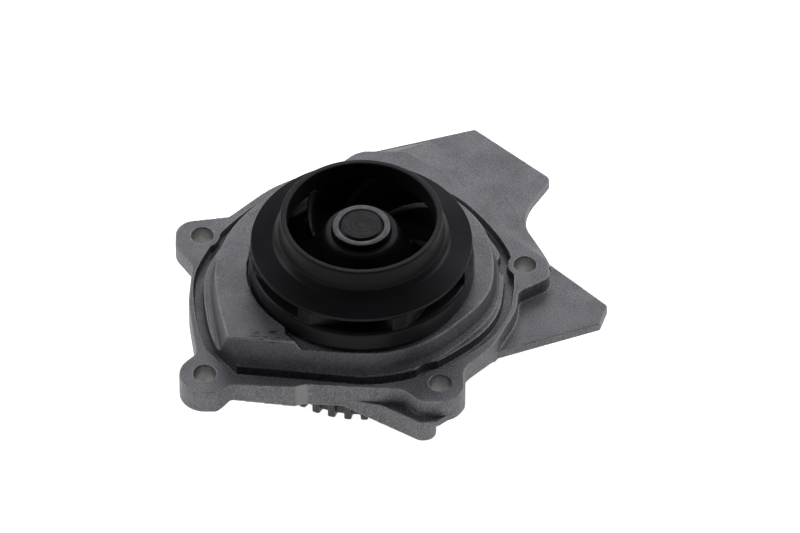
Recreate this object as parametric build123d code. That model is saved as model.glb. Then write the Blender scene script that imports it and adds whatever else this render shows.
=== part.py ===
"""Automotive coolant pump with a belt pulley, a ball bearing unit and a closed impeller.

Millimetres, +Z up. The pump turns about the Z axis. The face that seals against the
engine lies in the plane Z = 0, the impeller stands above it and the pulley hangs below.
Every separate piece is written to its own STEP file in the folder parts.
"""
import os
from math import cos, pi, radians, sin

from build123d import *

# ---- mounting flange -------------------------------------------------------------
FLANGE_T = 8.5
BOLT_HOLE_R = 3.4
BOLT_A = (-48.3, 23.0)
BOLT_B = (-46.8, -35.5)
BOLT_C = (23.5, -39.5)
BOLT_D = (49.2, 10.5)
BOLT_E = (3.0, 51.0)
BOLTS = (BOLT_A, BOLT_B, BOLT_C, BOLT_D, BOLT_E)

# ---- seal groove in the mounting face ----------------------------------------------
GROOVE_W = 3.0
GROOVE_D = 3.0
GROOVE_CLEAR = {BOLT_A: 5.3, BOLT_C: 5.9, BOLT_D: 5.2, BOLT_E: 6.0}
LEDGE_Z = 0.3

# ---- volute floor -------------------------------------------------------------------
RING_Z = 7.0
RAISED_Z = 10.0
WALL_DRAFT = 0.165
FOOT_OUT = 0.9
FOOT_H = 1.6
RECESS_R = 34.5

# ---- wing plate, plinth and skirt at the front right ----------------------------------
WING_TOP_Z = -5.0
WING_T = 3.0
STEP_TOP_Z = -4.0
PLINTH_TOP_Z = -6.0
SKIRT_BOTTOM_Z = -14.0
PULLEY_CLEAR_R = 34.8
EAR_A_T = 5.5
EAR_A_BOSS_R = 5.4

# ---- bearing boss -----------------------------------------------------------------------
BOSS_R = 20.0
BOSS_BOTTOM_Z = -19.0
BEARING_R = 15.0
BEARING_TOP_Z = -1.5
CHAMBER_R = 13.0
CHAMBER_TOP_Z = 1.0
WEEP_R = 1.2
POCKET_TOP_Z = 2.5
POCKET_R = 31.8
RIB_COUNT = 8
RIB_T = 2.6

# ---- ball bearing unit --------------------------------------------------------------------
RACE_BORE_R = 12.4
BALL_R = 2.75
BALL_PITCH_R = 10.15
BALL_COUNT = 9
RACE_CLEAR = 0.04
ROW_Z = (-6.7, -13.8)
CAGE_HALF = 3.3
CAGE_R_IN = 9.2
CAGE_R_OUT = 11.2
CAGE_POCKET_R = 2.85
BEARING_SEAL_T = 1.0
BEARING_SEAL_LIP = 0.08

# ---- shaft -------------------------------------------------------------------------------
SHAFT_R = 8.0
SHAFT_NOSE_R = 6.5
SHAFT_BOTTOM_Z = -22.8
SHAFT_STEP_Z = 15.0
SHAFT_TOP_Z = 27.6

# ---- coolant seal ---------------------------------------------------------------------------
SEAL_BORE_R = 14.0
SEAL_FLANGE_R = 16.5
SEAL_SEAT_Z = 6.0
SEAL_SHEET = 0.8
FILM = 0.02

# ---- impeller -------------------------------------------------------------------------------
BASE_BOTTOM_Z = 8.0
BASE_RIM_Z = 15.0
BASE_R = 33.9
HUB_RECESS_R = 14.5
BUSH_R = 8.8
BUSH_TOP_Z = 27.2
HUB_R = 11.0
HUB_TOP_Z = 25.0
EYE_R_IN = 22.4
EYE_R_OUT = 24.3
EYE_TOP_Z = 31.1
NECK_R = 25.4
SHROUD_R = 33.3
SHROUD_TOP_Z = 20.9
SHROUD_LIP = 1.4
VANE_COUNT = 7
VANE_INNER_ARC = 1.4
VANE_RIM_ARC = 5.0
VANE_FIRST_DEG = -126.0
VANE_IN_R = 10.6
INLET_R = 14.2
VANE_WRAP_DEG = 98.0

# ---- toothed pulley -----------------------------------------------------------------------
TOOTH_COUNT = 40
TOOTH_PHASE_DEG = 1.6
PULLEY_TIP_R = 32.6
PULLEY_ROOT_R = 30.3
PULLEY_BORE_R = 27.2
PULLEY_TOP_Z = -11.0
PULLEY_BOTTOM_Z = -23.4
PULLEY_WEB_T = 3.0


def polar(radius, degrees_ccw):
    """Point at a radius and an angle from +X."""
    return (radius * cos(radians(degrees_ccw)), radius * sin(radians(degrees_ccw)))


def slab(outline, z_low, z_high):
    """Solid between two heights under a closed outline or a face."""
    face = outline if isinstance(outline, (Face, Sketch)) else make_face(outline)
    return Pos(0, 0, z_low) * extrude(face, z_high - z_low)


def rounded(vertices):
    """Closed outline through (x, y, corner radius) rows."""
    points = [(x, y) for x, y, _ in vertices]
    radii = [r for _, _, r in vertices]
    return FilletPolyline(*points, radius=radii, close=True)


def disc(radius, z_low, z_high, at=(0, 0)):
    """Cylinder on an axis parallel to Z."""
    align = (Align.CENTER, Align.CENTER, Align.MIN)
    return Pos(at[0], at[1], z_low) * Cylinder(radius, z_high - z_low, align=align)


def ring(r_in, r_out, z_low, z_high):
    """Plain ring about the pump axis."""
    return disc(r_out, z_low, z_high) - disc(r_in, z_low, z_high)


def turned(points):
    """Solid of revolution from a closed (radius, height) outline of straight lines."""
    face = make_face(Polyline(*points, close=True))
    return revolve(Plane.XZ * face, Axis.Z, 360)


def save(node, shape):
    """Write one piece to parts/NODE.step."""
    solids = shape.solids()
    body = solids[0] if len(solids) == 1 else Compound(children=list(solids))
    body.label = node
    export_step(body, os.path.join("parts", node + ".step"))
    print(node, "solids", len(solids), "volume", round(body.volume, 1), "box", body.bounding_box())


def moved_left(curve, distance, count):
    """Curve that runs beside another one, to its left."""
    points = []
    for index in range(count + 1):
        place = curve @ (index / count)
        along = curve % (index / count)
        points.append((place.X - distance * along.Y, place.Y + distance * along.X))
    return Spline(*points)


# ---- housing ---------------------------------------------------------------------------

def flange_outline():
    """Edge of the mounting flange, anticlockwise from the front left ear."""
    return rounded([
        (-54.5, -43.4, 7.8), (-42.5, -43.4, 4.0), (-39.0, -40.3, 3.0), (-20.2, -41.2, 1.2),
        (-17.2, -40.1, 1.2), (1.0, -41.3, 20.0), (12.2, -42.0, 6.0), (17.6, -47.3, 5.0),
        (31.0, -47.3, 7.0), (30.6, -33.5, 5.0), (39.5, -24.0, 20.0), (46.6, -9.0, 20.0),
        (47.2, -1.0, 3.0), (57.0, 5.0, 5.0), (56.3, 12.5, 3.0), (50.5, 18.0, 4.0),
        (44.6, 22.4, 4.0), (41.3, 31.0, 25.0), (31.5, 43.0, 25.0), (14.0, 59.6, 7.0),
        (-1.2, 59.6, 8.0), (-6.2, 54.6, 2.0), (-15.0, 51.0, 15.0), (-28.0, 43.3, 25.0),
        (-40.2, 31.1, 3.0), (-48.0, 29.9, 12.0), (-56.4, 28.6, 6.0), (-56.4, 18.0, 6.5),
        (-51.2, 9.9, 3.0), (-52.2, -6.0, 40.0), (-49.4, -27.2, 3.0), (-54.5, -32.4, 7.4),
    ])


def groove_face(inward):
    """Area inside the seal groove's outer wall moved inwards by a distance."""
    loop = Spline(
        (0.0, -40.2), (10.0, -39.1), (18.0, -36.6), (26.2, -31.9), (32.5, -26.6), (38.4, -20.9),
        (42.2, -15.0), (44.4, -9.2), (45.5, -2.0), (45.9, 6.0), (44.6, 15.0), (40.6, 24.0),
        (36.0, 31.2), (28.5, 39.8), (16.0, 46.6), (2.0, 49.6), (-13.0, 47.6), (-27.0, 40.8),
        (-36.8, 31.4), (-42.9, 23.6), (-47.2, 15.2), (-50.1, 6.8), (-50.6, -1.0), (-50.0, -9.0),
        (-48.7, -17.4), (-46.4, -25.8),
    )
    corner = (-37.8 + 0.15 * inward, -35.6 + 0.96 * inward)
    if inward:
        loop = moved_left(loop, inward, 30)
    face = make_face([loop, Line(loop @ 1, corner), Line(corner, loop @ 0)])
    for centre, clear in GROOVE_CLEAR.items():
        face -= Pos(*centre) * Circle(clear + inward)
    return face


def plateau_outline(inset):
    """Spiral edge of the raised volute floor inside the groove, moved in by its draft."""
    spiral = Spline(
        (-19.5, -33.6 + inset), (-10.0, -34.5 + inset), (0.0, -35.1 + inset), (8.0, -34.7 + inset),
        (14.5 - 0.4 * inset, -33.0 + 0.9 * inset), (22.0 - 0.6 * inset, -28.9 + 0.8 * inset),
        (30.0 - 0.7 * inset, -21.4 + 0.7 * inset), (36.6 - 0.9 * inset, -13.4 + 0.4 * inset),
        (39.8 - inset, -6.5), (40.8 - inset, 1.5), (40.4 - inset, 9.5), (37.8 - inset, 19.5),
        (31.4 - 0.8 * inset, 29.8 - 0.7 * inset), (21.0, 38.0 - inset), (8.0, 42.2 - inset),
        (-8.0, 42.8 - inset), (-22.0, 38.6 - inset), (-33.5 + 0.7 * inset, 29.2 - 0.8 * inset),
        (-41.5 + inset, 16.0), (-45.2 + inset, 2.0), (-45.0 + inset, -10.0), (-43.4 + inset, -21.0),
    )
    corner = (-41.6 + inset, -32.0 + 1.3 * inset)
    face = make_face([spiral, Line(spiral @ 1, corner), Line(corner, spiral @ 0)])
    return fillet(face.vertices().sort_by_distance((corner[0], corner[1], 0))[0], 1.2)


def leaning(inset_low, z_low, inset_high, z_high):
    """Solid of the volute floor between two heights, its walls leaning in."""
    low = Pos(0, 0, z_low) * plateau_outline(inset_low)
    high = Pos(0, 0, z_high) * plateau_outline(inset_high)
    return loft([low.faces()[0], high.faces()[0]], ruled=True)


def raised_end(x_end, height):
    """Area of the raised floor, which ends at the front right on a line."""
    corners = [(x_end, -60), (x_end, -32.4), (x_end - 3.5, -28.5), (x_end - 3.5, 40), (-70, 40), (-70, -60)]
    return Pos(0, 0, height) * make_face(Polyline(*corners, close=True))


def make_plateau():
    """Volute floor: a level ring round the impeller and a raised part on the left."""
    body = leaning(0, LEDGE_Z, WALL_DRAFT * (RAISED_Z - LEDGE_Z), RAISED_Z)
    side = make_face(Polyline((-60, 3), (-60, RAISED_Z), (-22, RAISED_Z), (30, RING_Z), (60, RING_Z), (60, 3),
                              close=True))
    wedge = extrude(Plane.YZ * side, -80)
    area = loft([raised_end(-16.6, 4.0), raised_end(-19.6, RAISED_Z + 0.5)], ruled=True)
    body &= disc(80, LEDGE_Z - 1, RING_Z) + (wedge & area)
    body -= disc(RECESS_R, RING_Z, RAISED_Z + 1)
    body += leaning(-FOOT_OUT, LEDGE_Z, WALL_DRAFT * FOOT_H + 0.1, LEDGE_Z + FOOT_H)
    corner = make_face(Polyline((-46.0, -23.1), (-36.0, -34.1), (-45.0, -40.0), (-52.0, -30.0), close=True))
    return body - slab(corner, LEDGE_Z - 1, RAISED_Z + 1)


def wing_outline():
    """Edge of the wing plate, with a notch on its right."""
    return rounded([
        (34.5, 74.2, 1.0), (57.8, 52.4, 2.6), (49.2, 38.0, 18.0), (50.3, 28.8, 8.0), (56.3, 16.3, 1.2),
        (74.2, -2.0, 1.6), (71.8, -9.6, 1.2), (40.0, -22.0, 4.0), (31.4, -31.2, 1.0), (20.0, -20.0, 1.0),
        (0.0, 40.0, 1.0), (2.0, 64.0, 3.0),
    ])


def make_shoulder():
    """Slope from the mounting face down to a low step on the wing plate, trimmed by the plate's notch."""
    low = Spline((57.2, 13.4), (54.4, 21.0), (50.8, 28.6), (47.1, 35.4), (44.0, 42.0), (40.4, 48.8),
                 (34.0, 55.8), (28.0, 61.4), (20.5, 67.8))
    high = Spline((56.2, 9.6), (51.6, 16.0), (46.6, 21.0), (42.8, 27.2), (38.4, 34.4), (32.6, 41.4),
                  (25.6, 48.6), (18.0, 55.4), (9.0, 59.0))
    inner_low = Polyline(low @ 1, (2.0, 62.4), (0.0, 10.0), low @ 0)
    inner_high = Polyline(high @ 1, (3.0, 56.0), (0.0, 10.0), high @ 0)
    foot = make_face([low, inner_low])
    slope = loft([Pos(0, 0, STEP_TOP_Z) * foot, make_face([high, inner_high])], ruled=True)
    return (slope + slab(foot, WING_TOP_Z, STEP_TOP_Z)) & slab(wing_outline(), WING_TOP_Z, 0)


def make_skirt():
    """Plinth round the front right ear and the wall that hangs below it."""
    plinth = slab(rounded([
        (-6.0, -40.4, 0.5), (5.7, -42.8, 6.0), (17.4, -50.2, 3.6), (22.8, -49.6, 3.2), (31.0, -42.6, 4.0),
        (31.2, -29.4, 1.5), (26.0, -24.0, 1.0), (-6.0, -33.0, 0.5),
    ]), -FLANGE_T, PLINTH_TOP_Z)
    wall = slab(rounded([
        (-6.0, -40.6, 0.3), (5.7, -42.8, 6.0), (17.4, -50.2, 3.2), (22.4, -49.8, 3.6), (22.4, -43.6, 1.5),
        (17.2, -44.4, 3.0), (6.0, -36.6, 5.0), (-6.0, -34.2, 0.3),
    ]), SKIRT_BOTTOM_Z, -FLANGE_T + 0.5)
    under = make_face(Polyline((-7.0, -FLANGE_T), (-6.0, -FLANGE_T), (5.7, SKIRT_BOTTOM_Z),
                               (5.7, SKIRT_BOTTOM_Z - 1), (-7.0, SKIRT_BOTTOM_Z - 1), close=True))
    wall -= Pos(0, -30, 0) * extrude(Plane.XZ * under, 20)
    wall -= disc(PULLEY_CLEAR_R, SKIRT_BOTTOM_Z - 1, -FLANGE_T)
    return plinth + wall


def make_pocket():
    """Hollow under the flange round the bearing boss, with ribs left standing in it."""
    hollow = ring(BOSS_R, POCKET_R, -FLANGE_T - 1, POCKET_TOP_Z)
    for index in range(RIB_COUNT):
        rib = make_face(Polyline((BOSS_R - 2, -16), (BOSS_R + 1.2, -16), (BOSS_R + 5, -FLANGE_T),
                                 (POCKET_R + 0.5, -FLANGE_T), (POCKET_R + 0.5, POCKET_TOP_Z + 0.5),
                                 (BOSS_R - 2, POCKET_TOP_Z + 0.5), close=True))
        angle = 360 / RIB_COUNT * (index + 0.5)
        hollow -= Rot(0, 0, angle) * extrude(Plane.XZ * rib, RIB_T / 2, both=True)
    return hollow


def thin_edges():
    """What is cut from the flange's underside at three places on its edge, a bolt boss left standing."""
    ear = make_face(Polyline((-60, 6), (-51.5, 6), (-49.5, 14), (-43, 27), (-43, 34), (-60, 34), close=True))
    front = make_face(Polyline((-19.3, -FLANGE_T - 1), (-19.3, -FLANGE_T), (-39.2, -6.6), (-43.5, -FLANGE_T),
                               (-43.5, -FLANGE_T - 1), close=True))
    right = make_face(Polyline((31.0, -36), (44, -36), (44, -22.6), (39.5, -22.6), (31.0, -31.0), close=True))
    cut = slab(ear, -FLANGE_T - 1, -EAR_A_T) - disc(EAR_A_BOSS_R, -FLANGE_T - 1, -EAR_A_T, BOLT_A)
    return cut + slab(right, -FLANGE_T - 1, -6.5) + Pos(0, -36, 0) * extrude(Plane.XZ * front, 12)


def make_housing():
    """Die-cast aluminium housing with its bores, groove and bolt holes."""
    body = slab(flange_outline(), -FLANGE_T, 0)
    body += slab(wing_outline(), WING_TOP_Z - WING_T, WING_TOP_Z)
    body -= thin_edges()
    body += make_shoulder()
    body += make_skirt()
    body -= slab(groove_face(0), -GROOVE_D, 2)
    body += slab(groove_face(GROOVE_W), -GROOVE_D, LEDGE_Z)
    body += make_plateau()
    body += disc(BOSS_R, BOSS_BOTTOM_Z, LEDGE_Z)
    body -= make_pocket()
    body -= disc(BEARING_R, BOSS_BOTTOM_Z - 1, BEARING_TOP_Z)
    body -= disc(CHAMBER_R, BEARING_TOP_Z - 0.1, CHAMBER_TOP_Z)
    body -= disc(SEAL_BORE_R, CHAMBER_TOP_Z, RING_Z + 1)
    body -= disc(SEAL_FLANGE_R + 0.1, SEAL_SEAT_Z, RING_Z + 1)
    weep = Cylinder(WEEP_R, 24, align=(Align.CENTER, Align.CENTER, Align.MIN))
    body -= Pos(0, 0, -0.25) * Rot(0, 0, -90) * Rot(0, 90, 0) * weep
    for centre in BOLTS:
        body -= disc(BOLT_HOLE_R, -FLANGE_T - 1, 1, centre)
    return body


# ---- bearing and shaft --------------------------------------------------------------------

def race_torus(row_z):
    """Groove that a row of balls runs in, a little larger than the balls."""
    return Pos(0, 0, row_z) * Torus(BALL_PITCH_R, BALL_R + RACE_CLEAR)


def make_shaft():
    """Shaft that is also the inner race of the bearing."""
    body = turned([
        (0, SHAFT_BOTTOM_Z), (SHAFT_R - 0.8, SHAFT_BOTTOM_Z), (SHAFT_R, SHAFT_BOTTOM_Z + 0.8),
        (SHAFT_R, SHAFT_STEP_Z), (SHAFT_NOSE_R, SHAFT_STEP_Z), (SHAFT_NOSE_R, SHAFT_TOP_Z - 0.6),
        (SHAFT_NOSE_R - 0.6, SHAFT_TOP_Z), (0, SHAFT_TOP_Z),
    ])
    for row_z in ROW_Z:
        body -= race_torus(row_z)
    return body


def make_outer_ring():
    """One long outer ring with two ball grooves."""
    body = turned([
        (RACE_BORE_R, BOSS_BOTTOM_Z), (BEARING_R - 0.5, BOSS_BOTTOM_Z), (BEARING_R, BOSS_BOTTOM_Z + 0.5),
        (BEARING_R, BEARING_TOP_Z - 0.5), (BEARING_R - 0.5, BEARING_TOP_Z), (RACE_BORE_R, BEARING_TOP_Z),
    ])
    for row_z in ROW_Z:
        body -= race_torus(row_z)
    return body


def make_balls(row_z):
    """One row of balls."""
    body = None
    for index in range(BALL_COUNT):
        x, y = polar(BALL_PITCH_R, 360 / BALL_COUNT * index)
        ball = Pos(x, y, row_z) * Sphere(BALL_R)
        body = ball if body is None else body + ball
    return body


def make_cage(row_z):
    """Ring that keeps the balls of one row apart."""
    body = ring(CAGE_R_IN, CAGE_R_OUT, row_z - CAGE_HALF, row_z + CAGE_HALF)
    for index in range(BALL_COUNT):
        pocket = Rot(0, 90, 0) * Cylinder(CAGE_POCKET_R, 14, align=(Align.CENTER, Align.CENTER, Align.MIN))
        body -= Pos(0, 0, row_z) * Rot(0, 0, 360 / BALL_COUNT * index) * pocket
    return body


def make_bearing_seal(z_low):
    """Lip seal at one end of the bearing."""
    return ring(SHAFT_R + BEARING_SEAL_LIP, RACE_BORE_R, z_low, z_low + BEARING_SEAL_T)


# ---- coolant seal -------------------------------------------------------------------------

def make_seal_casing():
    """Drawn metal cup pressed into the housing, with a flange on its rim."""
    wall_r = SEAL_BORE_R - SEAL_SHEET
    return turned([
        (9.6, CHAMBER_TOP_Z), (SEAL_BORE_R, CHAMBER_TOP_Z), (SEAL_BORE_R, SEAL_SEAT_Z),
        (SEAL_FLANGE_R, SEAL_SEAT_Z), (SEAL_FLANGE_R, SEAL_SEAT_Z + SEAL_SHEET),
        (wall_r, SEAL_SEAT_Z + SEAL_SHEET), (wall_r, CHAMBER_TOP_Z + SEAL_SHEET),
        (9.6, CHAMBER_TOP_Z + SEAL_SHEET),
    ])


def make_bellows():
    """Rubber sleeve between the casing floor and the carbon ring's carrier."""
    floor_z = CHAMBER_TOP_Z + SEAL_SHEET
    return turned([
        (9.4, floor_z), (11.3, floor_z), (11.3, floor_z + 0.8), (10.3, floor_z + 1.2),
        (11.1, floor_z + 2.6), (10.3, floor_z + 4.0), (11.3, 7.0), (11.3, 7.6), (9.4, 7.6),
        (9.4, 7.0), (9.7, floor_z + 4.0), (10.3, floor_z + 2.6), (9.7, floor_z + 1.2), (9.4, floor_z + 0.8),
    ])


def make_spring():
    """Coil spring round the bellows."""
    low = CHAMBER_TOP_Z + SEAL_SHEET + 0.5
    path = Pos(0, 0, low) * Helix(pitch=(7.1 - low) / 2.5, height=7.1 - low, radius=12.2)
    start = Plane(origin=path @ 0, z_dir=path % 0)
    return sweep(start * Circle(0.45), path=path)


def make_spring_collar():
    """Steel cup that carries the carbon ring on the spring."""
    return turned([
        (9.4, 7.6), (13.0, 7.6), (13.0, 9.6), (12.5, 9.6), (12.5, 8.1), (9.4, 8.1),
    ])


def make_carbon_ring():
    """Stationary sealing ring with a narrow running face."""
    return turned([
        (9.4, 8.1), (12.5, 8.1), (12.5, 9.9), (11.7, 10.2), (11.7, 11.0 - FILM), (9.9, 11.0 - FILM),
        (9.9, 10.2), (9.4, 9.9),
    ])


def make_seat_ring():
    """Hard ring that turns with the shaft against the carbon ring."""
    return ring(9.2, 12.6, 11.0, 14.0)


def make_seat_cup():
    """Rubber cup that grips the hard ring in the impeller hub."""
    return turned([
        (8.6, 11.2), (9.2, 11.2), (9.2, 14.0), (12.6, 14.0), (12.6, 11.6), (13.4, 11.6), (13.4, 14.8),
        (8.6, 14.8),
    ])


def make_seal_sleeve():
    """Thin sleeve pressed on the shaft under the rotating half of the seal."""
    return ring(SHAFT_R, 8.6, 2.4, 14.8)


# ---- impeller -----------------------------------------------------------------------------

def base_profile():
    """Half section of the impeller's lower disc and hub."""
    curve = Spline((HUB_R + 0.6, 24.0), (13.6, 19.6), (18.5, 16.6), (25.5, 15.3), (BASE_R - 0.8, BASE_RIM_Z),
                   tangents=[(0.25, -1), (1, 0)])
    chain = Polyline((BASE_R - 0.8, BASE_RIM_Z), (BASE_R, BASE_RIM_Z - 0.8), (BASE_R, BASE_BOTTOM_Z + 0.4),
                     (BASE_R - 0.4, BASE_BOTTOM_Z), (HUB_RECESS_R, BASE_BOTTOM_Z), (HUB_RECESS_R, 15.0),
                     (BUSH_R, 15.0), (BUSH_R, HUB_TOP_Z), (HUB_R - 0.2, HUB_TOP_Z), (HUB_R + 0.6, 24.0))
    return make_face([curve, chain])


def shroud_under():
    """Curve of the shroud's inner surface, from the eye to the rim."""
    return Spline((EYE_R_IN, 25.4), (23.6, 22.4), (26.6, 20.6), (SHROUD_R, SHROUD_TOP_Z - SHROUD_LIP),
                  tangents=[(0, -1), (1, -0.06)])


def shroud_profile():
    """Half section of the shroud with the eye's rim."""
    under = shroud_under()
    top = Spline((SHROUD_R, SHROUD_TOP_Z), (29.0, 21.9), (NECK_R + 0.6, 23.0), (NECK_R - 0.2, 24.0),
                 (EYE_R_OUT, 28.0), tangents=[(-1, 0.2), (0, 1)])
    rim = Polyline((EYE_R_OUT, 28.0), (EYE_R_OUT, EYE_TOP_Z - 0.5), (EYE_R_OUT - 0.5, EYE_TOP_Z),
                   (EYE_R_IN + 0.4, EYE_TOP_Z), (EYE_R_IN, EYE_TOP_Z - 0.4), (EYE_R_IN, 25.4))
    lip = Line((SHROUD_R, SHROUD_TOP_Z - SHROUD_LIP), (SHROUD_R, SHROUD_TOP_Z))
    return make_face([under, lip, top, rim])


def passage_profile():
    """Half section of the water passage that the vanes fill from disc to shroud."""
    under = shroud_under()
    lines = Polyline((SHROUD_R, SHROUD_TOP_Z - SHROUD_LIP), (SHROUD_R, 14.0), (HUB_RECESS_R + 1, 14.0),
                     (HUB_RECESS_R + 1, 15.5), (INLET_R, 15.5), (INLET_R, 17.6), (EYE_R_IN, 25.4))
    return make_face([under, lines])


def vane_line(inner_width, rim_width):
    """Plan curve of one side of a vane from the hub to the rim, moved sideways along the arc."""
    points = []
    for step in range(8):
        share = 1.06 * step / 7
        radius = VANE_IN_R + (SHROUD_R - VANE_IN_R) * share
        width = inner_width + (rim_width - inner_width) * share
        points.append(polar(radius, VANE_WRAP_DEG * (1 - share) + width / radius * 180 / pi))
    return Spline(*points)


def make_vane():
    """One backward-curved vane; its leading side meets the rim on the +X axis."""
    left = vane_line(0, 0)
    right = vane_line(VANE_INNER_ARC, VANE_RIM_ARC)
    plan = make_face([left, Line(left @ 1, right @ 1), right, Line(right @ 0, left @ 0)])
    return slab(plan, 10, 30)


def make_impeller_base():
    """Lower disc, hub and vanes, moulded in one piece."""
    disc_body = revolve(Plane.XZ * base_profile(), Axis.Z, 360)
    passage = revolve(Plane.XZ * passage_profile(), Axis.Z, 360)
    vane = make_vane() & passage
    body = disc_body
    for index in range(VANE_COUNT):
        body += Rot(0, 0, VANE_FIRST_DEG + 360 / VANE_COUNT * index) * vane
    body -= disc(BUSH_R, 15.0, 40)
    return body


def make_shroud():
    """Upper disc of the impeller with the eye's rim."""
    return revolve(Plane.XZ * shroud_profile(), Axis.Z, 360)


def make_bushing():
    """Steel bushing moulded into the hub and pressed on the shaft."""
    return turned([
        (SHAFT_NOSE_R, SHAFT_STEP_Z), (BUSH_R, SHAFT_STEP_Z), (BUSH_R, BUSH_TOP_Z - 0.3),
        (BUSH_R - 0.3, BUSH_TOP_Z), (SHAFT_NOSE_R + 0.3, BUSH_TOP_Z), (SHAFT_NOSE_R, BUSH_TOP_Z - 0.3),
    ])


# ---- pulley ---------------------------------------------------------------------------------

def make_pulley():
    """Cup-shaped toothed belt pulley pressed on the lower end of the shaft."""
    body = ring(PULLEY_BORE_R, PULLEY_TIP_R, PULLEY_BOTTOM_Z, PULLEY_TOP_Z)
    pitch = 360 / TOOTH_COUNT
    gap = make_face(Polyline((PULLEY_ROOT_R, -0.95), (PULLEY_TIP_R + 1, -1.75), (PULLEY_TIP_R + 1, 1.75),
                             (PULLEY_ROOT_R, 0.95), close=True))
    cutter = slab(gap, PULLEY_BOTTOM_Z - 1, PULLEY_TOP_Z + 1)
    for index in range(TOOTH_COUNT):
        body -= Rot(0, 0, pitch * (index + 0.5) + TOOTH_PHASE_DEG) * cutter
    web_top = PULLEY_BOTTOM_Z + PULLEY_WEB_T
    body += ring(SHAFT_R, PULLEY_BORE_R, PULLEY_BOTTOM_Z, web_top)
    return body


def main():
    os.makedirs("parts", exist_ok=True)
    save("housing", make_housing())
    save("shaft", make_shaft())
    save("bearing_outer_ring", make_outer_ring())
    save("upper_balls", make_balls(ROW_Z[0]))
    save("lower_balls", make_balls(ROW_Z[1]))
    save("upper_cage", make_cage(ROW_Z[0]))
    save("lower_cage", make_cage(ROW_Z[1]))
    save("upper_bearing_seal", make_bearing_seal(BEARING_TOP_Z - 1.4))
    save("lower_bearing_seal", make_bearing_seal(BOSS_BOTTOM_Z + 0.4))
    save("seal_casing", make_seal_casing())
    save("seal_bellows", make_bellows())
    save("seal_spring", make_spring())
    save("seal_spring_collar", make_spring_collar())
    save("seal_carbon_ring", make_carbon_ring())
    save("seal_seat_ring", make_seat_ring())
    save("seal_seat_cup", make_seat_cup())
    save("seal_sleeve", make_seal_sleeve())
    save("impeller_base", make_impeller_base())
    save("impeller_shroud", make_shroud())
    save("impeller_bushing", make_bushing())
    save("toothed_pulley", make_pulley())


main()
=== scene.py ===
"""Studio scene of an automotive water pump standing on its belt pulley."""

from math import cos, hypot, pi, radians, sin, tan

import bmesh
import bpy
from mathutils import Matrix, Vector


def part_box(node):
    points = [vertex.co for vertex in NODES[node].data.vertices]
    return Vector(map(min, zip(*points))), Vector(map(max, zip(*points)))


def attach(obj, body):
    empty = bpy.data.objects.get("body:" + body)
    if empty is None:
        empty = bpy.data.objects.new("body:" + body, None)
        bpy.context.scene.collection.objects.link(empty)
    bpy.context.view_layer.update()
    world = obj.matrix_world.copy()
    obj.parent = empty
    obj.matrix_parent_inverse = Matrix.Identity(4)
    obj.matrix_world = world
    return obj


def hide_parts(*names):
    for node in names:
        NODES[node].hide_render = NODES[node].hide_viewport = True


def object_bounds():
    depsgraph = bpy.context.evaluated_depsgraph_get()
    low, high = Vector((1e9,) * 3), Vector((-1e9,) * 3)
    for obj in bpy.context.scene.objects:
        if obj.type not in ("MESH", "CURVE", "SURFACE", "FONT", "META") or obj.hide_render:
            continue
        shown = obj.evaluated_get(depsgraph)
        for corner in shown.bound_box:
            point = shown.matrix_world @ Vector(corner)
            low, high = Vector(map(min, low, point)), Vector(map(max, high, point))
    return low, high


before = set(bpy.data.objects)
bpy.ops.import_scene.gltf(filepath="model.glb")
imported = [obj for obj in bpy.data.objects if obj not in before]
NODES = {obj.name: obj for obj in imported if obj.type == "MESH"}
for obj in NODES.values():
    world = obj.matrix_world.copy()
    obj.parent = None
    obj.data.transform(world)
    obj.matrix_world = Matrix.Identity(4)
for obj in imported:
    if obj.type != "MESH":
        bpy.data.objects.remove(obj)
cad_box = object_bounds()
MM = 0.001

# ---- meshes: sizes in millimetres unless a name ends in _M --------------------------------
TURN_SEGMENTS = 192
HOUSING_VOXEL = 0.27
HOUSING_SMOOTH = 1
HOUSING_KEEP = 0.25
BASE_VOXEL = 0.3
BASE_SMOOTH = 3
BASE_KEEP = 0.3
SMOOTH_FACTOR = 0.5
MERGE_M = 1e-6
SLIVER_M = 1e-7

# ---- casting ------------------------------------------------------------------------------
BOLT_HOLES = [(-48.3, 23.0), (-46.8, -35.5), (23.5, -39.5), (49.2, 10.5), (3.0, 51.0)]
BOLT_HOLE_R = 3.4
BOLT_HOLE_MARGIN = 0.12
UPRIGHT_NORMAL_Z = 0.6
# heights of the walls that get painted shade
RAISED_WALL_Z = (1.0, 9.0)
# extent of the painted highlight band on the front wall step
LIT_BAND_X = (-19.2, -16.6)
LIT_BAND_Y = (-60, -39.0)
FOLD_X = (-33.0, -25.0)
FOLD_Y = (-31.4, -26.8)
FOLD_Z = (9.0, 11.0)
FOLD_TURN_DEG = 28.0
FOLD_STRETCH = (0.22, 1, 1)
FOLD_PER_MM = 1.3

# ---- impeller shroud ----------------------------------------------------------------------
EYE_R_IN = 22.4
EYE_R_OUT = 24.3
EYE_TOP_Z = 31.1
SHROUD_R = 33.3
SHROUD_TOP_Z = 20.9
SHROUD_LIP = 1.4
SHROUD_CORNER_STEPS = 6

# ---- shaft and bushing --------------------------------------------------------------------
SHAFT_R = 8.0
SHAFT_NOSE_R = 6.5
BUSH_R = 8.8
BUSH_GAP = 0.02
BUSH_CHAMFER_IN = 0.35
BUSH_CHAMFER_DEPTH = 0.4
BUSH_CORNER_STEPS = 4
BUSH_SHARP_DEG = 40

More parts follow.
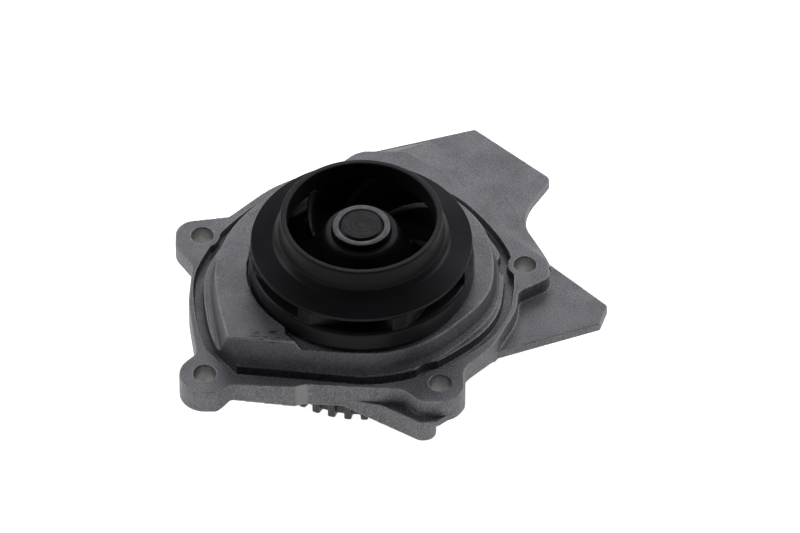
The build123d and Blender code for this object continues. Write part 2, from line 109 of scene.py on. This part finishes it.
# ---- belt pulley --------------------------------------------------------------------------
TOOTH_COUNT = 40
TOOTH_PHASE_DEG = 1.6
PULLEY_TIP_R = 32.6
PULLEY_ROOT_R = 30.3
PULLEY_BORE_R = 27.2
PULLEY_WEB_T = 3.0
PULLEY_WEB_FILLET = 1.0
PULLEY_CHAMFER = 0.5
PULLEY_SHARP_DEG = 28
HALF_GAP_ROOT = 0.95
HALF_GAP_TIP = 1.62
TOOTH_CORNER = 0.25
GAP_EDGE_RAD = 0.004
ROOT_EDGE_RAD = 0.006
TIP_EDGE_RAD = 0.012

# ---- colours of the casting, linear -------------------------------------------------------
CAST_COLOUR = (0.128, 0.126, 0.133)
CLOUD_DARK = (0.110, 0.109, 0.115)
CLOUD_PALE = (0.156, 0.154, 0.162)
GRAIN_PALE = (0.29, 0.29, 0.295)
GRAIN_DARK = (0.046, 0.046, 0.049)
PIT_DARK = (0.05, 0.05, 0.053)
STREAK_PALE = (0.22, 0.22, 0.22)
STREAK_DARK = (0.045, 0.045, 0.047)
# painted shade on the walls above the mounting face
RAISED_WALL_SHADE = (0.04, 0.04, 0.042)
# painted highlight on the front wall step
LIT_BAND_PALE = (0.24, 0.24, 0.235)
FOLD_DARK = (0.025, 0.025, 0.027)
# pale outer edges: partly wear, partly a painted highlight along their rounding
WORN_EDGE_HIGHLIGHT = (0.48, 0.48, 0.49)
DRILLED_COLOUR = (0.2, 0.2, 0.2)
DRILLED_DARK = (0.17, 0.168, 0.166)
DRILLED_PALE = (0.24, 0.238, 0.236)
DRILLED_MARK = (0.10, 0.10, 0.10)

# ---- colours of the rotor, linear ---------------------------------------------------------
PLASTIC_COLOUR = (0.0092, 0.0093, 0.0102)
PLASTIC_DARK = (0.0080, 0.0081, 0.0089)
PLASTIC_PALE = (0.0104, 0.0105, 0.0115)
PLASTIC_SPECULAR = 0.075
BUSHING_COLOUR = (0.054, 0.054, 0.055)
SHAFT_COLOUR = (0.0222, 0.0218, 0.022)
PULLEY_COLOUR = (0.07, 0.068, 0.066)

# ---- camera, floor and light --------------------------------------------------------------
LENS = 500.0
SENSOR = 36.0
VIEW_WIDTH = 240.96
VIEW_ELEVATION = 45.0
VIEW_TARGET = (11.54, 4.7, 5.0)
CLIP_END_M = 20
FLOOR_HALF = 3000
FLOOR_GAP = 0.05
FLOOR_COLOUR = (0.6, 0.6, 0.6)
FLOOR_ROUGHNESS = 0.9
FLOOR_GLOW = 0.95
WORLD_COLOUR = (0.9, 0.92, 1.0, 1)
WORLD_STRENGTH = 0.12
LAMP_TINT = (0.97, 0.95, 1.0)
# name, place in metres, edge in metres, watts
LAMPS = [
    ("left_box", (-1.2, 0.5, 0.8), 0.9, 12),
    ("right_box", (1.2, 0.7, 0.9), 0.9, 15),
    ("back_box", (0.1, 1.5, 1.1), 1.0, 13),
]


# ---- meshes -------------------------------------------------------------------------------

def mesh_object(name, vertices, faces, smooth=True):
    """New object from vertices in millimetres."""
    mesh = bpy.data.meshes.new(name)
    mesh.from_pydata([(x * MM, y * MM, z * MM) for x, y, z in vertices], [], faces)
    mesh.validate()
    if smooth:
        mesh.shade_smooth()
    thing = bpy.data.objects.new(name, mesh)
    bpy.context.scene.collection.objects.link(thing)
    return thing


def bake_modifiers(thing):
    """Replaces the object's mesh with the result of its modifiers."""
    graph = bpy.context.evaluated_depsgraph_get()
    mesh = bpy.data.meshes.new_from_object(thing.evaluated_get(graph))
    thing.modifiers.clear()
    thing.data = mesh


def sharpen(thing, degrees_limit):
    """Smooth shading with sharp edges above an angle."""
    mesh = thing.data
    mesh.shade_smooth()
    mesh.set_sharp_from_angle(angle=radians(degrees_limit))
    return thing


def rounded_profile(points, steps):
    """Closed (radius, height) outline from (radius, height, corner radius) rows."""
    outline = []
    count = len(points)
    for index, (r, z, round_r) in enumerate(points):
        here = Vector((r, z))
        if round_r <= 0:
            outline.append((r, z))
            continue
        back = (Vector(points[index - 1][:2]) - here).normalized()
        ahead = (Vector(points[(index + 1) % count][:2]) - here).normalized()
        half = back.angle(ahead) / 2
        reach = round_r / tan(half)
        centre = here + (back + ahead).normalized() * round_r / sin(half)
        start = here + back * reach
        end = here + ahead * reach
        for step in range(steps + 1):
            share = step / steps
            spoke = (start - centre).lerp(end - centre, share).normalized()
            place = centre + spoke * round_r
            outline.append((place.x, place.y))
    return outline


def lathe(name, outline):
    """Closed (radius, height) outline turned about the Z axis."""
    vertices = []
    for turn in range(TURN_SEGMENTS):
        angle = 2 * pi * turn / TURN_SEGMENTS
        vertices += [(r * cos(angle), r * sin(angle), z) for r, z in outline]
    count = len(outline)
    faces = []
    for turn in range(TURN_SEGMENTS):
        here = turn * count
        there = ((turn + 1) % TURN_SEGMENTS) * count
        for index in range(count):
            after = (index + 1) % count
            faces.append((here + index, there + index, there + after, here + after))
    thing = mesh_object(name, vertices, faces)
    tidy_mesh(thing)
    return thing


def tidy_mesh(thing):
    """Merges doubled vertices and turns all faces outwards."""
    work = bmesh.new()
    work.from_mesh(thing.data)
    bmesh.ops.remove_doubles(work, verts=work.verts, dist=MERGE_M)
    bmesh.ops.dissolve_degenerate(work, edges=work.edges, dist=SLIVER_M)
    bmesh.ops.recalc_face_normals(work, faces=work.faces)
    work.to_mesh(thing.data)
    work.free()


def cast_copy(node, name, voxel, smooth, keep):
    """Copy of a CAD node with the soft edges of a casting, kept inside the node's own box."""
    thing = bpy.data.objects.new(name, NODES[node].data.copy())
    bpy.context.scene.collection.objects.link(thing)
    tidy_mesh(thing)
    remesh = thing.modifiers.new("remesh", "REMESH")
    remesh.mode = "VOXEL"
    remesh.voxel_size = voxel * MM
    remesh.use_smooth_shade = True
    soften = thing.modifiers.new("soften", "SMOOTH")
    soften.factor = SMOOTH_FACTOR
    soften.iterations = smooth
    thin = thing.modifiers.new("thin", "DECIMATE")
    thin.ratio = keep
    bake_modifiers(thing)
    low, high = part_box(node)
    for vertex in thing.data.vertices:
        limits = zip(vertex.co, low, high)
        vertex.co = [min(max(value, least), most) for value, least, most in limits]
    thing.data.materials.clear()
    thing.data.shade_smooth()
    return thing


# ---- materials ----------------------------------------------------------------------------

class Paint:
    """Small helper round one material's node tree."""

    def __init__(self, name, colour, roughness, metallic=0.0):
        self.material = bpy.data.materials.new(name)
        self.material.use_nodes = True
        self.tree = self.material.node_tree
        self.shader = self.tree.nodes["Principled BSDF"]
        self.shader.inputs["Base Color"].default_value = (*colour, 1.0)
        self.shader.inputs["Roughness"].default_value = roughness
        self.shader.inputs["Metallic"].default_value = metallic
        self.place = self.tree.nodes.new("ShaderNodeTexCoord").outputs["Object"]

    def add(self, kind, **settings):
        """New node of a kind, with its settings."""
        node = self.tree.nodes.new(kind)
        for key, value in settings.items():
            setattr(node, key, value)
        return node

    def link(self, output, target):
        """Joins an output to an input."""
        self.tree.links.new(output, target)

    def noise(self, per_mm, detail=3.0, roughness=0.55, stretch=(1, 1, 1)):
        """Noise with a number of blobs per millimetre, drawn out where a stretch is below 1."""
        mapping = self.add("ShaderNodeMapping")
        mapping.inputs["Scale"].default_value = stretch
        self.link(self.place, mapping.inputs["Vector"])
        node = self.add("ShaderNodeTexNoise")
        node.inputs["Scale"].default_value = per_mm / MM
        node.inputs["Detail"].default_value = detail
        node.inputs["Roughness"].default_value = roughness
        self.link(mapping.outputs["Vector"], node.inputs["Vector"])
        return node.outputs["Fac"]

    def ramp(self, source, low, high, low_value, high_value):
        """Maps a value from one range to another."""
        node = self.add("ShaderNodeMapRange")
        node.inputs["From Min"].default_value = low
        node.inputs["From Max"].default_value = high
        node.inputs["To Min"].default_value = low_value
        node.inputs["To Max"].default_value = high_value
        self.link(source, node.inputs["Value"])
        return node.outputs["Result"]

    def blend(self, source, first, second):
        """Colour between two colours by a value."""
        node = self.add("ShaderNodeMix", data_type="RGBA")
        self.link(source, node.inputs["Factor"])
        for socket, value in (("A", first), ("B", second)):
            target = [s for s in node.inputs if s.name == socket and s.type == "RGBA"][0]
            if isinstance(value, tuple):
                target.default_value = (*value, 1.0)
            else:
                self.link(value, target)
        return [s for s in node.outputs if s.type == "RGBA"][0]

    def bump(self, source, depth_mm, strength):
        """Adds relief of a depth in millimetres on top of what is there."""
        node = self.add("ShaderNodeBump")
        node.inputs["Strength"].default_value = strength
        node.inputs["Distance"].default_value = depth_mm * MM
        self.link(source, node.inputs["Height"])
        if self.shader.inputs["Normal"].links:
            self.link(self.shader.inputs["Normal"].links[0].from_socket, node.inputs["Normal"])
        self.link(node.outputs["Normal"], self.shader.inputs["Normal"])

    def times(self, first, second):
        """Product of two values."""
        node = self.add("ShaderNodeMath", operation="MULTIPLY")
        self.link(first, node.inputs[0])
        self.link(second, node.inputs[1])
        return node.outputs["Value"]

    def outer_edges(self, reach_mm):
        """Value that is 1 on an outer edge and 0 further than a reach from it."""
        node = self.add("ShaderNodeAmbientOcclusion", inside=True, only_local=True, samples=6)
        node.inputs["Distance"].default_value = reach_mm * MM
        return self.ramp(node.outputs["AO"], 0.70, 0.95, 1, 0)

    def within(self, axis, low, high, soft=0.4):
        """Value that is 1 between two places along an axis, in millimetres, and fades to 0 outside."""
        split = self.add("ShaderNodeSeparateXYZ")
        self.link(self.place, split.inputs["Vector"])
        rising = self.ramp(split.outputs[axis], (low - soft) * MM, low * MM, 0, 1)
        falling = self.ramp(split.outputs[axis], high * MM, (high + soft) * MM, 1, 0)
        return self.times(rising, falling)

    def upright(self):
        """Value that is 1 on upright faces and 0 on level ones."""
        normal = self.add("ShaderNodeNewGeometry").outputs["Normal"]
        split = self.add("ShaderNodeSeparateXYZ")
        self.link(normal, split.inputs["Vector"])
        level = self.add("ShaderNodeMath", operation="ABSOLUTE")
        self.link(split.outputs["Z"], level.inputs[0])
        return self.ramp(level.outputs["Value"], 0.3, 0.8, 1, 0)

    def colour(self, output):
        """Drives the base colour."""
        self.link(output, self.shader.inputs["Base Color"])

    def rough(self, output):
        """Drives the roughness."""
        self.link(output, self.shader.inputs["Roughness"])


def cast_aluminium():
    """Blasted die-cast aluminium: cloudy patches, a fine grain, streaked walls, outer edges paler from
    wear and from a painted highlight, painted shade on the raised walls and a painted highlight band
    on the front wall step.
    """
    paint = Paint("cast_aluminium", CAST_COLOUR, 0.5, 0.6)
    cloud = paint.noise(0.11, 4.0, 0.6)
    grain = paint.noise(2.4, 2.0, 0.5)
    fine = paint.noise(4.5, 1.0, 0.5)
    streak = paint.noise(3.6, 2.0, 0.55, (1, 1, 0.2))
    wall = paint.upright()

    shade = paint.blend(paint.ramp(cloud, 0.36, 0.62, 0, 1), CLOUD_DARK, CLOUD_PALE)
    shade = paint.blend(paint.ramp(grain, 0.50, 0.70, 0, 0.7), shade, GRAIN_PALE)
    shade = paint.blend(paint.ramp(grain, 0.30, 0.50, 0.6, 0), shade, GRAIN_DARK)
    shade = paint.blend(paint.ramp(fine, 0.28, 0.42, 0.35, 0), shade, PIT_DARK)

    pale_streaks = paint.times(wall, paint.ramp(streak, 0.50, 0.72, 0, 0.45))
    dark_streaks = paint.times(wall, paint.ramp(streak, 0.28, 0.52, 0.6, 0))
    shade = paint.blend(pale_streaks, shade, STREAK_PALE)
    shade = paint.blend(dark_streaks, shade, STREAK_DARK)

    # painted shade darkens the walls that stand above the mounting face
    shade = paint_raised_wall_shade(paint, wall, shade)
    # painted highlight: a paler band on the front wall step
    shade = paint_lit_band(paint, wall, shade)
    shade = casting_folds(paint, shade)
    # outer edges paler: partly wear, partly a painted highlight
    worn_edge_highlight = paint.times(paint.outer_edges(0.5), paint.ramp(fine, 0.35, 0.6, 0.15, 0.7))
    paint.colour(paint.blend(worn_edge_highlight, shade, WORN_EDGE_HIGHLIGHT))
    paint.rough(paint.ramp(grain, 0.3, 0.7, 0.46, 0.62))
    paint.bump(grain, 0.16, 0.7)
    paint.bump(streak, 0.08, 0.6)
    return paint.material


def paint_raised_wall_shade(paint, wall, shade):
    """Painted shade on the walls that stand above the mounting face, darker as if the floor's light
    did not reach them.
    """
    shaded_wall = paint.times(wall, paint.within("Z", *RAISED_WALL_Z, 0.6))
    return paint.blend(paint.ramp(shaded_wall, 0, 1, 0, 0.5), shade, RAISED_WALL_SHADE)


def paint_lit_band(paint, wall, shade):
    """Painted highlight: a paler band on the front wall's step, standing in for the light its angled
    face catches.
    """
    across = paint.within("X", *LIT_BAND_X, 0.9)
    front = paint.within("Y", *LIT_BAND_Y)
    place = paint.times(paint.times(across, front), wall)
    return paint.blend(paint.ramp(place, 0, 1, 0, 0.7), shade, LIT_BAND_PALE)


def casting_folds(paint, shade):
    """A few dark diagonal folds near the front edge of the raised floor."""
    turn = paint.add("ShaderNodeMapping")
    turn.inputs["Rotation"].default_value = (0, 0, radians(FOLD_TURN_DEG))
    turn.inputs["Scale"].default_value = FOLD_STRETCH
    paint.link(paint.place, turn.inputs["Vector"])
    folds = paint.add("ShaderNodeTexNoise")
    folds.inputs["Scale"].default_value = FOLD_PER_MM / MM
    folds.inputs["Detail"].default_value = 1.0
    paint.link(turn.outputs["Vector"], folds.inputs["Vector"])
    area = paint.times(paint.within("X", *FOLD_X, 1.0), paint.within("Y", *FOLD_Y, 0.6))
    area = paint.times(area, paint.within("Z", *FOLD_Z, 0.5))
    mark = paint.times(area, paint.ramp(folds.outputs["Fac"], 0.38, 0.48, 0.9, 0))
    return paint.blend(mark, shade, FOLD_DARK)


def drilled_aluminium():
    """Bright wall of a drilled hole, with fine turning marks."""
    paint = Paint("drilled_aluminium", DRILLED_COLOUR, 0.45, 0.6)
    marks = paint.noise(1.2, 2.0, 0.5, (0.4, 0.4, 5))
    patch = paint.noise(0.6, 3.0)
    shade = paint.blend(paint.ramp(patch, 0.35, 0.65, 0, 1), DRILLED_DARK, DRILLED_PALE)
    paint.colour(paint.blend(paint.ramp(marks, 0.35, 0.55, 0.5, 0), shade, DRILLED_MARK))
    paint.rough(paint.ramp(marks, 0.3, 0.7, 0.36, 0.52))
    paint.bump(marks, 0.05, 0.6)
    return paint.material


def moulded_plastic():
    """Black glass-filled plastic with a satin skin."""
    paint = Paint("moulded_plastic", PLASTIC_COLOUR, 0.32)
    paint.shader.inputs["Specular IOR Level"].default_value = PLASTIC_SPECULAR
    cloud = paint.noise(0.12, 3.0)
    grain = paint.noise(3.5, 2.0)
    paint.colour(paint.blend(cloud, PLASTIC_DARK, PLASTIC_PALE))
    paint.rough(paint.ramp(cloud, 0.3, 0.7, 0.28, 0.38))
    paint.bump(grain, 0.02, 0.25)
    return paint.material


def scaled(colour, share):
    """Colour with every channel multiplied."""
    return tuple(channel * share for channel in colour)


def turned_steel(name, colour, roughness, ring_mm=0.35, depth=0.02):
    """Steel turned on a lathe, with fine rings about the Z axis."""
    paint = Paint(name, colour, roughness, 1.0)
    split = paint.add("ShaderNodeSeparateXYZ")
    paint.link(paint.place, split.inputs["Vector"])
    flat = paint.add("ShaderNodeCombineXYZ")
    paint.link(split.outputs["X"], flat.inputs["X"])
    paint.link(split.outputs["Y"], flat.inputs["Y"])
    length = paint.add("ShaderNodeVectorMath", operation="LENGTH")
    paint.link(flat.outputs["Vector"], length.inputs[0])
    rings = paint.add("ShaderNodeTexNoise", noise_dimensions="1D")
    rings.inputs["Scale"].default_value = 1 / (ring_mm * MM)
    rings.inputs["Detail"].default_value = 2.0
    paint.link(length.outputs["Value"], rings.inputs["W"])
    patch = paint.noise(0.4, 3.0)
    ring_share = paint.ramp(rings.outputs["Fac"], 0.35, 0.65, 0, 0.8)
    shade = paint.blend(ring_share, scaled(colour, 0.5), colour)
    patch_share = paint.ramp(patch, 0.45, 0.75, 0, 0.5)
    paint.colour(paint.blend(patch_share, shade, scaled(colour, 0.75)))
    paint.rough(paint.ramp(patch, 0.3, 0.7, roughness - 0.06, roughness + 0.1))
    paint.bump(rings.outputs["Fac"], depth, 0.6)
    return paint.material


def plain_finish(name, colour, roughness, metallic=0.0, grain_mm=0.4, depth=0.01):
    """Even finish with slight patches and a fine grain."""
    paint = Paint(name, colour, roughness, metallic)
    patch = paint.noise(0.3, 3.0)
    grain = paint.noise(1 / grain_mm, 2.0)
    patch_share = paint.ramp(patch, 0.35, 0.7, 0, 1)
    paint.colour(paint.blend(patch_share, scaled(colour, 0.82), colour))
    paint.rough(paint.ramp(grain, 0.3, 0.7, roughness - 0.05, roughness + 0.06))
    paint.bump(grain, depth, 0.4)
    return paint.material


def dress(thing, material):
    """Gives an object one material."""
    thing.data.materials.clear()
    thing.data.materials.append(material)


def in_bolt_hole(place):
    """Whether a place on the casting lies within a bolt hole or on its wall."""
    reach = (BOLT_HOLE_R + BOLT_HOLE_MARGIN) * MM
    return any(hypot(place.x - x * MM, place.y - y * MM) < reach for x, y in BOLT_HOLES)


def dress_holes(thing, material):
    """Gives the walls of the bolt holes a second material."""
    thing.data.materials.append(material)
    for face in thing.data.polygons:
        upright = abs(face.normal.z) < UPRIGHT_NORMAL_Z
        if upright and in_bolt_hole(face.center):
            face.material_index = 1


# ---- pieces -------------------------------------------------------------------------------

def make_shroud():
    """Upper disc of the impeller and the rim of its eye, one smooth moulding."""
    lip_z = SHROUD_TOP_Z - SHROUD_LIP
    outline = rounded_profile([
        (EYE_R_IN, EYE_TOP_Z, 0.4), (EYE_R_IN, 23.4, 2.2), (26.2, 20.6, 4.0),
        (SHROUD_R, lip_z, 0.3), (SHROUD_R, SHROUD_TOP_Z, 0.45), (26.6, 22.9, 2.2),
        (25.0, 24.6, 1.6), (EYE_R_OUT, EYE_TOP_Z, 0.5),
    ], SHROUD_CORNER_STEPS)
    return lathe("impeller_shroud_moulding", outline)


def tooth_outline(middle, pitch):
    """Gap at an angle and the tooth after it, as (radius, angle) pairs."""
    root = HALF_GAP_ROOT / PULLEY_ROOT_R
    tip = HALF_GAP_TIP / PULLEY_TIP_R
    return [
        (PULLEY_TIP_R - TOOTH_CORNER, middle - tip + GAP_EDGE_RAD),
        (PULLEY_ROOT_R + TOOTH_CORNER, middle - root - ROOT_EDGE_RAD),
        (PULLEY_ROOT_R, middle - root + ROOT_EDGE_RAD),
        (PULLEY_ROOT_R, middle + root - ROOT_EDGE_RAD),
        (PULLEY_ROOT_R + TOOTH_CORNER, middle + root + ROOT_EDGE_RAD),
        (PULLEY_TIP_R - TOOTH_CORNER, middle + tip - GAP_EDGE_RAD),
        (PULLEY_TIP_R, middle + tip + TIP_EDGE_RAD),
        (PULLEY_TIP_R, middle + pitch - tip - TIP_EDGE_RAD),
    ]


def make_pulley_teeth():
    """Toothed rim and web of the belt pulley."""
    low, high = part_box("toothed_pulley")
    bottom = low[2] / MM
    top = high[2] / MM
    web_top = bottom + PULLEY_WEB_T
    pitch = 2 * pi / TOOTH_COUNT
    rim = []
    for tooth in range(TOOTH_COUNT):
        rim += tooth_outline(pitch * (tooth + 0.5) + radians(TOOTH_PHASE_DEG), pitch)
    count = len(rim)
    tooth_radii = [r for r, _ in rim]
    chamfer_radii = [r - PULLEY_CHAMFER for r, _ in rim]
    rows = [
        ([SHAFT_R] * count, bottom),
        ([PULLEY_ROOT_R - PULLEY_CHAMFER] * count, bottom),
        (chamfer_radii, bottom),
        (tooth_radii, bottom + PULLEY_CHAMFER),
        (tooth_radii, top - PULLEY_CHAMFER),
        (chamfer_radii, top),
        ([PULLEY_BORE_R + PULLEY_CHAMFER] * count, top),
        ([PULLEY_BORE_R] * count, top - PULLEY_CHAMFER),
        ([PULLEY_BORE_R] * count, web_top + PULLEY_WEB_FILLET),
        ([PULLEY_BORE_R - PULLEY_WEB_FILLET] * count, web_top),
        ([SHAFT_R] * count, web_top),
    ]
    vertices = []
    for radii, z in rows:
        vertices += [(r * cos(a), r * sin(a), z) for r, (_, a) in zip(radii, rim)]
    faces = []
    for row in range(len(rows)):
        here = row * count
        there = ((row + 1) % len(rows)) * count
        for index in range(count):
            after = (index + 1) % count
            faces.append((here + index, here + after, there + after, there + index))
    thing = mesh_object("belt_pulley_toothed", vertices, faces)
    tidy_mesh(thing)
    return sharpen(thing, PULLEY_SHARP_DEG)


def make_bushing():
    """Turned steel bushing in the hub."""
    low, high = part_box("impeller_bushing")
    bottom = low[2] / MM
    top = high[2] / MM
    inner = SHAFT_NOSE_R + BUSH_GAP
    outer = BUSH_R - BUSH_GAP
    outline = rounded_profile([
        (inner, bottom, 0), (outer, bottom, 0), (outer, top, 0.3),
        (SHAFT_NOSE_R + BUSH_CHAMFER_IN, top, 0.12), (inner, top - BUSH_CHAMFER_DEPTH, 0.1),
    ], BUSH_CORNER_STEPS)
    return sharpen(lathe("hub_bushing_turned", outline), BUSH_SHARP_DEG)


# ---- scene --------------------------------------------------------------------------------

def area_light(name, place, size, power):
    """Square soft box at a place in metres, facing the origin."""
    data = bpy.data.lights.new(name, "AREA")
    data.size = size
    data.energy = power
    data.color = LAMP_TINT
    lamp = bpy.data.objects.new(name, data)
    lamp.location = place
    lamp.rotation_euler = (Vector((0, 0, 0)) - Vector(place)).to_track_quat("-Z", "Y").to_euler()
    bpy.context.scene.collection.objects.link(lamp)


def make_camera():
    """Long lens, forty-five degrees above the front."""
    data = bpy.data.cameras.new("camera")
    data.lens = LENS
    data.sensor_width = SENSOR
    data.clip_end = CLIP_END_M
    camera = bpy.data.objects.new("camera", data)
    distance = VIEW_WIDTH * MM * LENS / SENSOR
    target = Vector(VIEW_TARGET) * MM
    angle = radians(VIEW_ELEVATION)
    camera.location = target + Vector((0, -cos(angle), sin(angle))) * distance
    camera.rotation_euler = (radians(90) - angle, 0, 0)
    bpy.context.scene.collection.objects.link(camera)
    bpy.context.scene.camera = camera


def make_floor():
    """Large white sheet a hair below the pulley, so the two faces never share a plane."""
    level = cad_box[0][2] / MM - FLOOR_GAP
    corners = [(-1, -1), (1, -1), (1, 1), (-1, 1)]
    vertices = [(x * FLOOR_HALF, y * FLOOR_HALF, level) for x, y in corners]
    floor = mesh_object("floor", vertices, [(0, 1, 2, 3)], False)
    paint = Paint("floor_white", FLOOR_COLOUR, FLOOR_ROUGHNESS)
    paint.shader.inputs["Emission Color"].default_value = (1, 1, 1, 1)
    paint.shader.inputs["Emission Strength"].default_value = FLOOR_GLOW
    dress(floor, paint.material)


def make_world():
    """Dim, slightly blue surroundings."""
    world = bpy.data.worlds.new("studio")
    world.use_nodes = True
    background = world.node_tree.nodes["Background"]
    background.inputs["Color"].default_value = WORLD_COLOUR
    background.inputs["Strength"].default_value = WORLD_STRENGTH
    bpy.context.scene.world = world


def dress_inner_pieces():
    """Finishes of the shaft and the pieces inside the housing, on their CAD meshes."""
    shaft_steel = turned_steel("shaft_steel", SHAFT_COLOUR, 0.42, ring_mm=0.6, depth=0.10)
    dress(NODES["shaft"], shaft_steel)
    finishes = [
        (plain_finish("bearing_steel", (0.55, 0.55, 0.57), 0.25, 1.0),
         ["bearing_outer_ring"]),
        (plain_finish("ball_steel", (0.7, 0.7, 0.72), 0.08, 1.0, grain_mm=1.0, depth=0.001),
         ["upper_balls", "lower_balls"]),
        (plain_finish("cage_nylon", (0.62, 0.56, 0.42), 0.5),
         ["upper_cage", "lower_cage"]),
        (plain_finish("black_rubber", (0.02, 0.02, 0.02), 0.7),
         ["upper_bearing_seal", "lower_bearing_seal", "seal_bellows", "seal_seat_cup"]),
        (plain_finish("sheet_steel", (0.5, 0.49, 0.47), 0.3, 1.0),
         ["seal_casing", "seal_spring_collar", "seal_sleeve"]),
        (plain_finish("spring_wire", (0.45, 0.45, 0.46), 0.3, 1.0),
         ["seal_spring"]),
        (plain_finish("graphite", (0.04, 0.04, 0.045), 0.45),
         ["seal_carbon_ring"]),
        (plain_finish("silicon_carbide", (0.12, 0.12, 0.13), 0.25),
         ["seal_seat_ring"]),
    ]
    for material, names in finishes:
        for name in names:
            dress(NODES[name], material)


def build():
    """All pieces of the pump; the remade ones each on its body."""
    aluminium = cast_aluminium()
    plastic = moulded_plastic()

    housing = cast_copy("housing", "housing_casting", HOUSING_VOXEL, HOUSING_SMOOTH, HOUSING_KEEP)
    dress(housing, aluminium)
    dress_holes(housing, drilled_aluminium())
    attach(housing, "housing")
    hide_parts("housing")

    base = cast_copy("impeller_base", "impeller_base_moulding", BASE_VOXEL, BASE_SMOOTH, BASE_KEEP)
    dress(base, plastic)
    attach(base, "rotor")
    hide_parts("impeller_base")

    shroud = make_shroud()
    dress(shroud, plastic)
    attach(shroud, "rotor")
    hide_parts("impeller_shroud")

    pulley = make_pulley_teeth()
    sintered = plain_finish("sintered_steel", PULLEY_COLOUR, 0.5, 0.7, grain_mm=0.25, depth=0.03)
    dress(pulley, sintered)
    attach(pulley, "rotor")
    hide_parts("toothed_pulley")

    bushing = make_bushing()
    dress(bushing, turned_steel("bushing_steel", BUSHING_COLOUR, 0.3))
    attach(bushing, "rotor")
    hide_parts("impeller_bushing")

    dress_inner_pieces()


build()
make_floor()
make_world()
make_camera()
for lamp_row in LAMPS:
    area_light(*lamp_row)
bpy.context.scene.view_settings.view_transform = "Standard"
